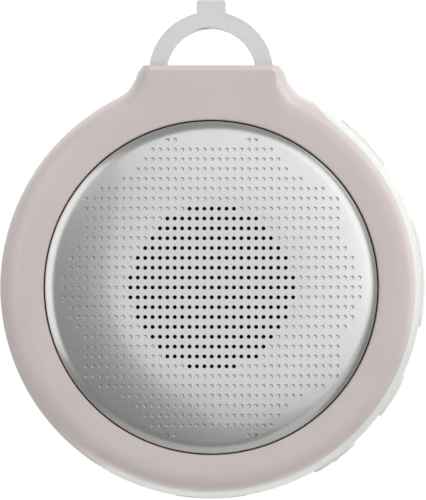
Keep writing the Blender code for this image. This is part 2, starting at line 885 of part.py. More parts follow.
def hanging_loop(clear, steel):
    """Translucent loop with a finger tab, on a pin through the neck."""
    low = LOOP_DEPTH - LOOP_THICKNESS / 2
    high = LOOP_DEPTH + LOOP_THICKNESS / 2
    soft = 0.6
    outline = [
        (LOOP_INNER, low + soft),
        (LOOP_INNER + soft, low),
        (LOOP_OUTER - soft, low),
        (LOOP_OUTER, low + soft),
        (LOOP_OUTER, high - soft),
        (LOOP_OUTER - soft, high),
        (LOOP_INNER + soft, high),
        (LOOP_INNER, high - soft),
    ]
    sections = []
    for angle in spread(0.0, 180.0, 19):
        turn = math.radians(angle)
        sections.append(
            [
                Vector(
                    (
                        radius * math.cos(turn),
                        -depth,
                        LOOP_PIVOT + radius * math.sin(turn),
                    )
                )
                * MM
                for radius, depth in outline
            ]
        )
    loop = loft("hanging_loop", sections, clear, closed=False)
    middle = (LOOP_OUTER + LOOP_INNER) / 2
    band = LOOP_OUTER - LOOP_INNER
    extras, holes = [], []
    for side in (-1, 1):
        tip = Matrix.Translation(
            Vector((side * middle, -LOOP_DEPTH, LOOP_PIVOT)) * MM
        ) @ Matrix.Rotation(math.radians(90), 4, "Z")
        extras.append(
            turned(
                f"loop_eye_{side + 2}",
                disc(-band / 2 + 0.05, band / 2 - 0.05, LOOP_EYE),
                clear,
                steps=14,
                tip=tip,
            )
        )
    tab_base = LOOP_PIVOT + LOOP_INNER + 1.2
    extras.append(
        block(
            "loop_tab",
            (LOOP_TAB_WIDTH, 2.4, LOOP_TAB_TOP - tab_base),
            (0, LOOP_DEPTH, (LOOP_TAB_TOP + tab_base) / 2),
            clear,
            bevel=0.4,
        )
    )
    holes.append(pin_shape("loop_bore", PIN_RADIUS + 0.1, 20.0, clear))
    cut(join(loop, *extras), *holes)
    place = Vector((0, -LOOP_DEPTH, LOOP_PIVOT)) * MM
    for piece in (loop, *extras, *holes):
        pivot(piece, place)
    return pin_shape("loop_pin", PIN_RADIUS, PIN_HALF, steel)


def suction_cup(clear, white, steel):
    """Suction cup with its release tab, the collar round its neck and the stud that holds it."""
    outline = [
        (0, 5.4),
        (8, 4.9),
        (16, 3.4),
        (23, 1.5),
        (CUP_LIP, 0),
        (CUP_RADIUS, 0),
        (CUP_RADIUS, 0.9),
        (25, 4.0),
        (19, 6.6),
        (13, 8.4),
        (9.4, 9.6),
        (8.5, 11.0),
        (8.5, 14.7),
        (3.2, 14.7),
        (3.2, 10.6),
        (5.2, 10.6),
        (5.2, 7.6),
        (0, 7.6),
    ]
    cup = turned("suction_cup", outline, clear, steps=32)
    tab = block("cup_tab", (9, 1.6, 9), (0, 1.2, -32.5), clear, bevel=0.5)
    join(cup, tab)
    turned(
        "cup_collar",
        [(14.2, 14.7), (14.2, 12.6), (12.8, 11.4), (8.8, 11.4), (8.8, 14.7)],
        white,
        steps=32,
    )
    stud = turned(
        "cup_stud",
        [(0, 20.0), (2.0, 20.0), (2.6, 19.4), (2.6, 10.2), (4.9, 10.2), (4.9, 7.9), (0, 7.9)],
        steel,
        steps=14,
    )
    return stud


def build():
    for obj in list(bpy.data.objects):
        bpy.data.objects.remove(obj)
    rose = finish_material("rose_soft_touch", (0.58, 0.49, 0.47), 0.45)
    white = finish_material("white_plastic", (0.80, 0.81, 0.76), 0.4)
    strip = finish_material("white_rubber", (0.78, 0.79, 0.74), 0.55)
    silver = finish_material("satin_silver", (0.82, 0.82, 0.81), 0.32, metallic=1.0)
    clear = finish_material("frosted_clear", (0.72, 0.72, 0.73), 0.35, alpha=0.85)
    steel = finish_material("steel", (0.55, 0.55, 0.56), 0.35, metallic=1.0)
    ferrite = finish_material("ferrite", (0.07, 0.07, 0.08), 0.6)
    paper = finish_material("black_paper", (0.04, 0.04, 0.04), 0.8)
    rubber = finish_material("black_rubber", (0.03, 0.03, 0.03), 0.6)
    copper = finish_material("copper", (0.75, 0.36, 0.2), 0.35, metallic=1.0)
    cloth = finish_material("black_cloth", (0.02, 0.02, 0.02), 0.9)
    board = finish_material("green_board", (0.02, 0.18, 0.08), 0.5)
    dark = finish_material("black_plastic", (0.03, 0.03, 0.03), 0.5)
    foil = finish_material("bare_foil", (0.62, 0.63, 0.64), 0.35, metallic=1.0)
    red = finish_material("red_insulation", (0.5, 0.03, 0.03), 0.5)

    front_shell(rose)
    rear_shell(white)
    housing_gasket(rubber)
    baffle(dark)
    grille(silver)
    acoustic_cloth(cloth)
    driver(steel, ferrite, paper, rubber, copper, cloth)
    screws(steel)
    control_strip(strip)
    buttons(strip)
    switches(steel, board)
    port(strip, steel, board)
    electronics(board, dark, foil, red, rubber)
    hanging_loop(clear, steel)
    suction_cup(clear, white, steel)


build()
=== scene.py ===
"""The looks of a round waterproof shower speaker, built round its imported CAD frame.

Lengths are in millimetres unless a name says otherwise, and MM turns them into metres. The
speaker's axis is the Y axis and the wall is the plane y = 0. A point is given by its radius from
the axis, its angle (degrees anticlockwise from +X, seen from the front) and its depth, the
distance out from the wall, so the front faces -Y.
"""

import json
import math

import bmesh
import bpy
from mathutils import Matrix, Vector
from mathutils.geometry import delaunay_2d_cdt

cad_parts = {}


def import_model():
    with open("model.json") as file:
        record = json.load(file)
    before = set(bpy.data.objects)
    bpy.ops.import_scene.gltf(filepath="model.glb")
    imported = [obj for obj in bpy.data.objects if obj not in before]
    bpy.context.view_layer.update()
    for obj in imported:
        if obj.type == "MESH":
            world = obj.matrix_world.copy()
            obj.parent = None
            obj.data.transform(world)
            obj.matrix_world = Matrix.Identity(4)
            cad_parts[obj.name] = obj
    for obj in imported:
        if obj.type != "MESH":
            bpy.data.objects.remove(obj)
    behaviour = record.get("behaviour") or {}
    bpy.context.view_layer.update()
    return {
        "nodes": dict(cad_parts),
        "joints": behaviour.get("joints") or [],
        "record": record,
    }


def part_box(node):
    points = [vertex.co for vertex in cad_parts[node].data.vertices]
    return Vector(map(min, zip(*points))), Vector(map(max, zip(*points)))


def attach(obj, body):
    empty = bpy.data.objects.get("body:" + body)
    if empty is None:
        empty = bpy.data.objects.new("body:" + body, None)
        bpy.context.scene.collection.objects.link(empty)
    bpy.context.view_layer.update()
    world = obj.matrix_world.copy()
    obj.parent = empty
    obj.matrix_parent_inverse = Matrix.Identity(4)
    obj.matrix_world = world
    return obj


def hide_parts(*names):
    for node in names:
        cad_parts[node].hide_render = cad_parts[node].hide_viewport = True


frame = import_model()

MM = 0.001
JOINTS = {joint["name"]: joint for joint in frame["joints"]}


def edge(node, corner, axis):
    """One side of a CAD node's box, in millimetres; depths come out positive."""
    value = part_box(node)[corner][axis] / MM
    return -value if axis == 1 else value


LOW, HIGH = 0, 1
X, DEPTH, Z = 0, 1, 2

# Outer shape of the body
BODY_RADIUS = 42.85
EQUATOR = 33.0  # depth of the widest section
REAR_FACE = edge("rear_shell", HIGH, DEPTH)
REAR_RADIUS = 37.5
REAR_POWER = 2.4  # squareness of the rounding towards the rear
CROWN = edge("front_shell", LOW, DEPTH)  # depth of the bezel's front
CROWN_RADIUS = 37.0
FRONT_POWER = 2.6  # squareness of the rounding towards the front
PARTING = 20.0  # depth where the two shells meet
SEAM = 0.12  # width of the visible seam there
SEAM_BEVEL = (0.25, 0.3)  # of the edges beside it, inwards and along the depth
SHELL_WALL = 3.0
BEZEL_BORE = 33.85
BEZEL_LIP = (0.5, 0.3)  # width and height of the bezel's inner rounding
LEDGE = 41.6  # depth of the bezel's back, where the grille's side ends
LEDGE_RADIUS = 38.4  # of the hollow behind the bezel
LEDGE_FOOT = 38.7  # depth where that hollow meets the inside of the wall

# Neck on top
NECK_TOP = edge("front_shell", HIGH, Z)
NECK_HALF_WIDTH = 14.8
NECK_CORNER = 1.1
NECK_FILLET = 7.5
NECK_REAR = 30.0
NECK_EDGE = (1.0, 1.3)  # width and height of the rounding of its front edge
NECK_FADE = (16.2, 2.6)  # degrees off the top where the ring's wider rounding starts, and its growth

# Case screws' posts, wells and bores, and the cup's collar
POST_RADIUS, WELL_RADIUS, BORE_RADIUS = 3.6, 2.9, 1.5
HEAD_SEAT = 17.2  # depth of the seats of the screws' heads
COLLAR_BORE, COLLAR_RADIUS = 8.8, 14.2
COLLAR_FRONT = 14.7

# Hanging loop and its pin
LOOP_PIVOT = JOINTS["loop_fold"]["pos_m"][Z] / MM
LOOP_DEPTH = -JOINTS["loop_fold"]["pos_m"][1] / MM
LOOP_OUTER = edge("hanging_loop", HIGH, X)
LOOP_INNER = 9.07
LOOP_THICKNESS = 3.0
LOOP_ROLL = 0.3  # radius of its rounded edges
TAB_HALF_WIDTH = 2.93
TAB_TOP = edge("hanging_loop", HIGH, Z)
TAB_CORNER = 0.45
PIN_RADIUS = 0.8
PIN_HALF = 14.1

# Control strip, buttons and port; angles are (start, end)
STRIP_ANGLES = (-123.0, 60.0)
STRIP_DEPTHS = (22.9, 44.1)
STRIP_CORNER = 6.0
STRIP_THICKNESS = 1.5
STRIP_GAP = 0.03  # round the strip, in its recess
STRIP_ROLL = 0.12  # rounding of its outer edge
STRIP_LIP = 0.3  # rounding round its openings
BUTTON_GAP = 0.22
BUTTON_DEPTHS = (29.0, 37.4)
BUTTON_MIDDLE = sum(BUTTON_DEPTHS) / 2
BUTTON_PROUD = 0.5
BUTTON_SINK = 0.85  # leaves room for its stroke above the shell
BUTTON_CORNER = 2.2
BUTTON_ROLL = 0.6
BUTTONS = {
    "power_button": (35.0, 52.0),
    "volume_rocker": (-11.0, 19.0),
    "play_button": (-37.5, -24.0),
    "call_button": (-61.0, -47.0),
}
ROCKER_ARM = 9.0
PLUNGER_RADIUS = 1.2
PLUNGER_TIP = 39.7
PLUNGER_HEAD = 0.5  # how far its outer end is below the body's surface
PLUNGER_CLEARANCE = 0.35
PORT_ANGLES = (-100.0, -80.0)
PORT_DEPTHS = (28.4, 38.4)
PORT_MIDDLE = sum(PORT_DEPTHS) / 2
PORT_ROLL = 0.35
MARK_HEIGHT = 0.16  # of the raised marks on the buttons
ROLL_STEPS = (0.0, 0.1, 0.3, 0.62, 1.0)  # where a rounded edge has its points, as shares of it

# Grille
GRILLE_TRIM = 0.04  # how much smaller its radius is than the CAD's
GRILLE_RADIUS = edge("grille", HIGH, X) - GRILLE_TRIM
GRILLE_FACE = edge("grille", LOW, DEPTH)
DOME_HEIGHT = 1.5
GRILLE_EDGE = GRILLE_FACE - DOME_HEIGHT  # depth where the dome meets the rolled rim
GRILLE_RIM = 31.4
RIM_TILT = 50.0  # how far the rolled rim leans, in degrees, where it meets its side
GRILLE_SHEET = 0.7
FLAT_FIELD = 17.5  # radius of the grille's flat middle
EDGE_TILT = math.atan2(2 * (GRILLE_FACE - GRILLE_EDGE), GRILLE_RIM - FLAT_FIELD)
HOLE_FIELD = 16.7  # centres nearer the middle than this are holes, and the rest dimples
PITCH = (1.492, 1.989)  # between columns and between rows
LATTICE_SHIFT = Vector((0.12, 0.0))  # of the lattice off the grille's centre
HOLE_RADIUS = 0.42
DIMPLE_RADIUS = 0.42
DIMPLE_FLOOR = 0.7  # its flat floor's radius, as a share of its own
DIMPLE_DEPTH = 0.6
DIMPLE_SHIFT = Vector((-0.205, 0.0, -0.205))  # of the floor off its centre, as a share of its radius
ROW_REACH = (20, 20, 19, 19, 18, 17, 17, 17, 17, 17, 15, 12, 10, 9, 8)  # columns each side, by row
LAST_ROW = (-6, -5, 5, 6)  # the columns of the row after those


# ------------ helpers


def point(radius, angle, depth):
    """The place, in metres, of a radius, an angle in degrees and a depth."""
    turn = math.radians(angle)
    return Vector((radius * math.cos(turn), -depth, radius * math.sin(turn))) * MM


def spread(low, high, count):
    """count numbers from low to high, both included."""
    return [low + (high - low) * i / (count - 1) for i in range(count)]


def spread_line(start, end, count):
    """count points along a straight line."""
    return [tuple(Vector(start).lerp(Vector(end), share)) for share in spread(0, 1, count)]


def arc(centre, radius, start, end, count):
    """Points of an arc in a plane; radius may be a pair, for an ellipse."""
    across, up = radius if isinstance(radius, tuple) else (radius, radius)
    return [
        (
            centre[0] + across * math.cos(math.radians(turn)),
            centre[1] + up * math.sin(math.radians(turn)),
        )
        for turn in spread(start, end, count)
    ]


def barrel(depth):
    """Radius of the body's outer surface at a depth."""
    if depth >= EQUATOR:
        share = min((depth - EQUATOR) / (CROWN - EQUATOR), 1.0)
        reach = (1 - share**FRONT_POWER) ** (1 / FRONT_POWER)
        return CROWN_RADIUS + (BODY_RADIUS - CROWN_RADIUS) * reach
    share = min((EQUATOR - depth) / (EQUATOR - REAR_FACE), 1.0)
    reach = (1 - share**REAR_POWER) ** (1 / REAR_POWER)
    return REAR_RADIUS + (BODY_RADIUS - REAR_RADIUS) * reach


def smooth_path(nodes, steps=5):
    """Points along a smooth curve through nodes, steps of them to each stretch."""
    nodes = [Vector(node) for node in nodes]
    path = [nodes[0]]
    for i, (start, end) in enumerate(zip(nodes, nodes[1:])):
        before = nodes[max(i - 1, 0)]
        after = nodes[min(i + 2, len(nodes) - 1)]
        slope = end - before
        bend = 2 * before - 5 * start + 4 * end - after
        twist = 3 * start - before - 3 * end + after
        for step in range(1, steps + 1):
            t = step / steps
            path.append(start + (slope * t + bend * t**2 + twist * t**3) / 2)
    return [tuple(place) for place in path]


def finish(name, bm, sharp=35.0):
    """Makes the object of a bmesh, with its faces pointing out and shaded smooth."""
    bmesh.ops.remove_doubles(bm, verts=bm.verts, dist=1e-7)
    loose = [vert for vert in bm.verts if not vert.link_faces]
    bmesh.ops.delete(bm, geom=loose, context="VERTS")
    bmesh.ops.recalc_face_normals(bm, faces=bm.faces)
    mesh = bpy.data.meshes.new(name)
    bm.to_mesh(mesh)
    bm.free()
    mesh.shade_smooth()
    mesh.set_sharp_from_angle(angle=math.radians(sharp))
    obj = bpy.data.objects.new(name, mesh)
    bpy.context.scene.collection.objects.link(obj)
    return obj


def turned(name, outline, steps, place=None):
    """A piece turned about the Y axis from (radius, depth) points, then moved by place.

    The outline starts and ends on the axis.
    """
    bm = bmesh.new()
    verts = [bm.verts.new((radius * MM, -depth * MM, 0)) for radius, depth in outline]
    edges = [bm.edges.new(pair) for pair in zip(verts, verts[1:])]
    around = {"cent": (0, 0, 0), "axis": (0, 1, 0), "angle": math.tau}
    bmesh.ops.spin(bm, geom=verts + edges, steps=steps, use_merge=True, **around)
    if place:
        bm.transform(place)
    return finish(name, bm)


def at(x, z, depth=0.0):
    """A matrix that moves a piece to a place in the front view."""
    return Matrix.Translation(Vector((x, -depth, z)) * MM)


def radial(angle, radius, depth):
    """A matrix that lays a piece made along Y outwards along a radius, its depth 0 at radius."""
    turn = Matrix.Rotation(math.radians(90 - angle), 4, "Y")
    lay = Matrix.Rotation(math.radians(-90), 4, "X")
    return Matrix.Translation(point(radius, angle, depth)) @ turn @ lay


def disc(low, high, radius):
    """The outline of a disc between two depths."""
    return [(0, high), (radius, high), (radius, low), (0, low)]


def join_rings(bm, first, second):
    """Faces all round between two closed rings of as many vertices."""
    for i in range(len(first)):
        j = (i + 1) % len(first)
        bm.faces.new((first[i], first[j], second[j], second[i]))


def loft(name, sections, sharp=35.0):
    """Joins sections, lists of points in order round each, side by side and all the way round."""
    bm = bmesh.new()
    rows = [[bm.verts.new(place) for place in section] for section in sections]
    for first, second in zip(rows, rows[1:] + rows[:1]):
        join_rings(bm, first, second)
    return finish(name, bm, sharp)


def block(name, size, place, bevel=0.0):
    """A box of (width, depth, height) moved by place, its edges rounded by bevel."""
    bm = bmesh.new()
    bmesh.ops.create_cube(bm, size=1.0)
    bm.transform(Matrix.Diagonal((size[0] * MM, size[1] * MM, size[2] * MM, 1)))
    if bevel:
        bmesh.ops.bevel(
            bm, geom=bm.edges[:], offset=bevel * MM, segments=4, affect="EDGES", profile=0.5
        )
    bm.transform(place)
    return finish(name, bm)


def carve(obj, others, operation="DIFFERENCE", sharp=35.0):
    """Cuts others from obj, or joins them to it, for good."""
    for other in others:
        modifier = obj.modifiers.new(other.name, "BOOLEAN")
        modifier.operation = operation
        modifier.object = other
    depsgraph = bpy.context.evaluated_depsgraph_get()
    result = bpy.data.meshes.new_from_object(obj.evaluated_get(depsgraph))
    obj.modifiers.clear()
    obj.data = result
    for other in others:
        bpy.data.objects.remove(other)
    result.shade_smooth()
    result.set_sharp_from_angle(angle=math.radians(sharp))


def triangulate(loops, extra, keep):
    """Triangles between closed loops and extra points in a plane, where keep says so.

    Returns the points, the triangles and each loop's points by number.
    """
    spots, edges = [], []
    for loop in loops:
        first, count = len(spots), len(loop)
        spots += [Vector(place) for place in loop]
        edges += [(first + i, first + (i + 1) % count) for i in range(count)]
    spots += [Vector(place) for place in extra]
    flat, _, faces, sources, _, _ = delaunay_2d_cdt(spots, edges, [], 0, 1e-6, True)
    number = {old: new for new, olds in enumerate(sources) for old in olds}
    rows, first = [], 0
    for loop in loops:
        rows.append([number[first + i] for i in range(len(loop))])
        first += len(loop)
    kept = [face for face in faces if keep(sum((flat[i] for i in face), Vector((0, 0))) / 3)]
    return flat, kept, rows


def slab(name, loops, walls, extra, keep, top, under, raised=()):
    """A closed piece between two surfaces over the same region of a plane.

    walls says which loops bound the region, and raised which loops stand on a mark.
    """
    flat, faces, rows = triangulate(loops, extra, keep)
    marks = {i for k in raised for i in rows[k]}
    bm = bmesh.new()
    upper = [bm.verts.new(top(place, i in marks)) for i, place in enumerate(flat)]
    lower = [bm.verts.new(under(place)) for place in flat]
    for face in faces:
        bm.faces.new([upper[i] for i in face])
        bm.faces.new([lower[i] for i in face[::-1]])
    for k in walls:
        join_rings(bm, [upper[i] for i in rows[k]], [lower[i] for i in rows[k]])
    return finish(name, bm)


def fold_rounding(distance, roll):
    """How far a surface has dropped at a distance in from an edge rounded by roll."""
    if distance >= roll:
        return 0.0
    share = 1 - max(distance, 0.0) / roll
    return roll * (1 - math.sqrt(max(1 - share * share, 0.0)))


class Panel:
    """A rectangle with rounded corners in the plane of (way round the body, depth)."""

    def __init__(self, angles, depths, corner, grow=0.0):
        length = math.radians(angles[1] - angles[0]) * BODY_RADIUS
        middle = math.radians(angles[0] + angles[1]) / 2 * BODY_RADIUS
        self.centre = Vector((middle, sum(depths) / 2))
        self.half = Vector((length / 2 + grow, (depths[1] - depths[0]) / 2 + grow))
        self.corner = corner + grow

    def distance(self, place):
        """Distance from a place to the rectangle's edge, positive inside."""
        off = place - self.centre
        reach = Vector((abs(off.x), abs(off.y))) - self.half
        reach += Vector((self.corner, self.corner))
        outside = Vector((max(reach.x, 0), max(reach.y, 0))).length
        return self.corner - outside - min(max(reach.x, reach.y), 0)

    def loop(self, inset=0.0, spacing=1.2):
        """Points round the rectangle, in by inset and at most about spacing apart."""
        corner = max(self.corner - inset, 0.02)
        half = self.half - Vector((inset + corner, inset + corner))
        points = []
        for side, up, start in ((1, 1, 0), (-1, 1, 90), (-1, -1, 180), (1, -1, 270)):
            middle = self.centre + Vector((side * half.x, up * half.y))
            points += [Vector(place) for place in arc(middle, corner, start, start + 90, 7)]
        loop = []
        for start, end in zip(points, points[1:] + points[:1]):
            parts = max(int((end - start).length / spacing), 1)
            loop += [start.lerp(end, i / parts) for i in range(parts)]
        return loop

    def grid(self, spacing, margin):
        """Places inside the rectangle on a square lattice, at least margin from its edge."""
        across, up = (int(reach / spacing) for reach in self.half)
        spots = [
            self.centre + Vector((i * spacing, j * spacing))
            for i in range(-across, across + 1)
            for j in range(-up, up + 1)
        ]
        return [spot for spot in spots if self.distance(spot) > margin]


def on_body(place, offset):
    """The place, in metres, of a (way round, depth) place at an offset from the surface."""
    angle = math.degrees(place.x / BODY_RADIUS)
    return point(barrel(place.y) + offset, angle, place.y)


def place_piece(piece, body, slot, *nodes):
    """Gives a piece its finish, lets it ride on a body and stand for CAD nodes."""
    piece.data.materials.clear()
    piece.data.materials.append(FINISHES[slot])
    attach(piece, body)
    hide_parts(*nodes)


# ------------ finishes


WAVE_SPACING = 0.314  # between the bands of a wave texture whose scale is 1


def add_node(nodes, kind, **values):
    """A new shader node of a kind, with these values on its sockets."""
    node = nodes.new("ShaderNode" + kind)
    for socket, value in values.items():
        node.inputs[socket.replace("_", " ")].default_value = value
    return node


class Finish:
    """A procedural material; each method adds nodes to it."""

    def __init__(self, slot, roughness, metallic=0.0, **sockets):
        self.slot = slot
        self.material = bpy.data.materials.new(slot)
        self.material.use_nodes = True
        self.nodes = self.material.node_tree.nodes
        self.links = self.material.node_tree.links
        self.shader = self.nodes["Principled BSDF"]
        self.shader.inputs["Roughness"].default_value = roughness
        self.shader.inputs["Metallic"].default_value = metallic
        for socket, value in sockets.items():
            self.shader.inputs[socket.replace("_", " ")].default_value = value
        self.place = self.nodes.new("ShaderNodeTexCoord").outputs["Object"]

    def noise(self, size, detail=2.0, stretch=(1, 1, 1)):
        """A noise whose features are about size millimetres across."""
        mapping = add_node(self.nodes, "Mapping", Scale=[s / (size * MM) for s in stretch])
        noise = add_node(self.nodes, "TexNoise", Scale=1.0, Detail=detail)
        self.links.new(self.place, mapping.inputs["Vector"])
        self.links.new(mapping.outputs["Vector"], noise.inputs["Vector"])
        return noise.outputs["Fac"]

    def wave(self, size, direction):
        """Bands size millimetres apart along an axis."""
        wave = add_node(self.nodes, "TexWave", Scale=WAVE_SPACING / (size * MM))
        wave.bands_direction = direction
        self.links.new(self.place, wave.inputs["Vector"])
        return wave.outputs["Fac"]

    def ramp(self, factor, low, high, start=0.3, end=0.7):
        """Maps a factor between start and end to a number or a colour."""
        if isinstance(low, tuple):
            ramp = self.nodes.new("ShaderNodeValToRGB")
            ramp.color_ramp.elements[0].position = start
            ramp.color_ramp.elements[1].position = end
            ramp.color_ramp.elements[0].color = (*low, 1)
            ramp.color_ramp.elements[1].color = (*high, 1)
            self.links.new(factor, ramp.inputs["Fac"])
            return ramp.outputs["Color"]
        remap = add_node(
            self.nodes, "MapRange", From_Min=start, From_Max=end, To_Min=low, To_Max=high
        )
        self.links.new(factor, remap.inputs["Value"])
        return remap.outputs["Result"]

    def product(self, first, second):
        """One factor times another."""
        node = self.nodes.new("ShaderNodeMath")
        node.operation = "MULTIPLY"
        self.links.new(first, node.inputs[0])
        self.links.new(second, node.inputs[1])
        return node.outputs["Value"]

    def drive(self, socket, output):
        """Links an output to one of the shader's sockets."""
        self.links.new(output, self.shader.inputs[socket])

    def bump(self, height, strength, depth):
        """Roughens the surface by depth millimetres."""
        node = add_node(self.nodes, "Bump", Strength=strength, Distance=depth * MM)
        self.links.new(height, node.inputs["Height"])
        self.links.new(node.outputs["Normal"], self.shader.inputs["Normal"])
        return self


def shade(colour, factor):
    """A colour made lighter or darker by a factor."""
    return tuple(min(channel * factor, 1.0) for channel in colour)


def moulded(name, colour, roughness, grain, depth, mottle=0.02, **sockets):
    """Moulded plastic or rubber: an even colour, slightly cloudy, over a fine spark texture."""
    made = Finish(name, roughness, **sockets)
    cloud = made.noise(9.0, 3.0)
    made.drive("Base Color", made.ramp(cloud, shade(colour, 1 - mottle), shade(colour, 1 + mottle)))
    spark = made.noise(grain, 3.0)
    made.drive("Roughness", made.ramp(spark, roughness - 0.06, roughness + 0.06))
    return made.bump(spark, 0.6, depth)


def satin_silver():
    """Fine blasted and anodised metal."""
    made = Finish("satin_silver", 0.3, 1.0, Coat_Weight=1.0, Coat_Roughness=0.06, Coat_IOR=1.6)
    colour = (0.605, 0.605, 0.595)
    blast = made.noise(0.22, 2.0)
    made.drive("Base Color", made.ramp(blast, shade(colour, 0.94), shade(colour, 1.06)))
    made.drive("Roughness", made.ramp(made.noise(0.5, 2.0), 0.27, 0.33))
    return made.bump(blast, 0.2, 0.002)


def steel():
    """Turned steel with fine tool marks."""
    made = Finish("steel", 0.3, 1.0)
    marks = made.noise(0.5, 2.0, (1, 6, 1))
    made.drive("Base Color", made.ramp(marks, (0.44, 0.44, 0.45), (0.56, 0.56, 0.57)))
    made.drive("Roughness", made.ramp(marks, 0.25, 0.42))
    return made.bump(marks, 0.3, 0.01)


def copper():
    """Enamelled wire wound side by side along Y, its colour painted darker in the grooves between
    the windings as shade and lighter on their crowns as highlight.
    """
    made = Finish("copper", 0.3, 1.0)
    turns = made.wave(0.25, "Y")
    # painted shade and highlight: the wire's colour darkens in the grooves between windings and
    # lightens on each winding's crown
    made.drive("Base Color", made.ramp(turns, (0.30, 0.10, 0.04), (0.72, 0.32, 0.16)))
    return made.bump(turns, 0.8, 0.06)


def cloth(name, colour, pitch):
    """A plain weave seen from the front, its colour painted darker between the threads as shade and
    lighter on their crowns as highlight.
    """
    made = Finish(name, 0.85)
    weave = made.product(made.wave(pitch, "X"), made.wave(pitch, "Z"))
    # painted shade and highlight: the cloth's colour darkens between the threads and lightens on
    # their crowns
    made.drive("Base Color", made.ramp(weave, shade(colour, 0.5), shade(colour, 1.4), 0.0, 1.0))
    return made.bump(weave, 0.8, 0.05)


def board():
    """Green solder mask over copper tracks."""
    made = Finish("green_board", 0.4)
    mask = {"Color1": (0.012, 0.13, 0.055, 1), "Color2": (0.015, 0.16, 0.065, 1)}
    mask["Mortar"] = (0.05, 0.30, 0.13, 1)
    tracks = add_node(made.nodes, "TexBrick", Scale=1 / (3.2 * MM), Mortar_Size=0.06, **mask)
    mapping = add_node(made.nodes, "Mapping", Rotation=(math.pi / 2, 0, 0))
    made.links.new(made.place, mapping.inputs["Vector"])
    made.links.new(mapping.outputs["Vector"], tracks.inputs["Vector"])
    made.drive("Base Color", tracks.outputs["Color"])
    return made.bump(tracks.outputs["Fac"], 0.5, 0.03)


def foil():
    """Wrinkled metal foil, its colour painted darker in the hollows of its creases as shade and
    lighter on their ridges as highlight.
    """
    made = Finish("bare_foil", 0.32, 1.0)
    creases = made.noise(2.5, 5.0)
    # painted shade and highlight: the foil's colour follows the creases' height, darker in their
    # hollows and lighter on their ridges
    made.drive("Base Color", made.ramp(creases, (0.48, 0.49, 0.50), (0.66, 0.67, 0.68)))
    return made.bump(creases, 0.5, 0.12)


FINISHES = {
    made.slot: made.material
    for made in (
        moulded("rose_shell", (0.695, 0.612, 0.597), 0.4, 0.12, 0.004),
        moulded("white_shell", (0.86, 0.865, 0.83), 0.38, 0.15, 0.003),
        moulded("white_rubber", (0.86, 0.87, 0.83), 0.5, 0.12, 0.004),
        satin_silver(),
        moulded(
            "frosted_clear", (0.8, 0.8, 0.8), 0.45, 0.15, 0.004, Transmission_Weight=0.35, IOR=1.42
        ),
        steel(),
        moulded("ferrite", (0.05, 0.05, 0.055), 0.6, 0.2, 0.02, 0.2),
        copper(),
        moulded("paper", (0.035, 0.035, 0.035), 0.85, 0.6, 0.05, 0.3),
        moulded("black_rubber", (0.025, 0.025, 0.025), 0.6, 0.2, 0.006, 0.15),
        moulded("red_insulation", (0.42, 0.015, 0.015), 0.4, 0.3, 0.004, 0.08),
        cloth("black_cloth", (0.012, 0.012, 0.012), 0.16),
        moulded("black_plastic", (0.022, 0.022, 0.023), 0.5, 0.15, 0.005, 0.12),
        board(),
        foil(),
        moulded("light_lens", (0.6, 0.75, 0.9), 0.3, 0.4, 0.004, 0.03),
    )
}


# ------------ front shell


def outline_radius(angle):
    """Radius of the front view's outline: the round body with the neck's fillets and top."""
    off = abs(angle - 90.0)
    turn = math.radians(off)
    fillet_x = NECK_HALF_WIDTH + NECK_FILLET
    fillet_z = math.sqrt((BODY_RADIUS + NECK_FILLET) ** 2 - fillet_x**2)
    if off >= math.degrees(math.atan2(fillet_x, fillet_z)):
        return BODY_RADIUS
    across, up = math.sin(turn), math.cos(turn)
    along = across * fillet_x + up * fillet_z
    inside = NECK_FILLET**2 - (fillet_x**2 + fillet_z**2 - along**2)
    side = along - math.sqrt(inside) if inside > 0 else NECK_TOP / up
    corner = (NECK_HALF_WIDTH + NECK_TOP - NECK_CORNER) / (across + up)
    return min(side, NECK_TOP / up, corner)


def softness(angle):
    """How much of the bezel's wide rounding is left at an angle: 1 on the ring, 0 at the neck."""
    start, growth = NECK_FADE
    share = min(max((abs(angle - 90.0) - start) / growth, 0.0), 1.0)
    return share * share * (3 - 2 * share)


def shell_section(angle):
    """The front shell's section at an angle: round the outside, then back along the inside."""
    soft = softness(angle)
    extra = outline_radius(angle) - BODY_RADIUS
    width = NECK_EDGE[0] + (BODY_RADIUS - CROWN_RADIUS - NECK_EDGE[0]) * soft
    height = NECK_EDGE[1] + (CROWN - EQUATOR - NECK_EDGE[1]) * soft
    power = 2 / (1 + (FRONT_POWER - 1) * soft)
    lip = (BEZEL_BORE + BEZEL_LIP[0], CROWN - BEZEL_LIP[1])
    outside = arc(lip, BEZEL_LIP, 180, 90, 8)
    for turn in spread(0, 90, 19):
        lean = math.radians(turn)
        radius = BODY_RADIUS + extra - width * (1 - math.sin(lean) ** power)
        outside.append((radius, CROWN - height * (1 - math.cos(lean) ** power)))
    outside.append((BODY_RADIUS + extra, NECK_REAR + 1.2))
    low = PARTING + SEAM
    outside += [(barrel(depth), depth) for depth in spread(NECK_REAR, low + SEAM_BEVEL[1], 9)]
    outside.append((barrel(low) - SEAM_BEVEL[0], low))
    inside = [(barrel(depth) - SHELL_WALL, depth) for depth in (low, 25.5, EQUATOR, LEDGE_FOOT)]
    inside += [(LEDGE_RADIUS, LEDGE_FOOT), (LEDGE_RADIUS, LEDGE), (BEZEL_BORE, LEDGE)]
    return [point(radius, angle, depth) for radius, depth in outside + inside]


def plungers(name):
    """The angles of a button's plungers."""
    middle = sum(BUTTONS[name]) / 2
    if name == "volume_rocker":
        return [middle + ROCKER_ARM, middle - ROCKER_ARM]
    return [middle]


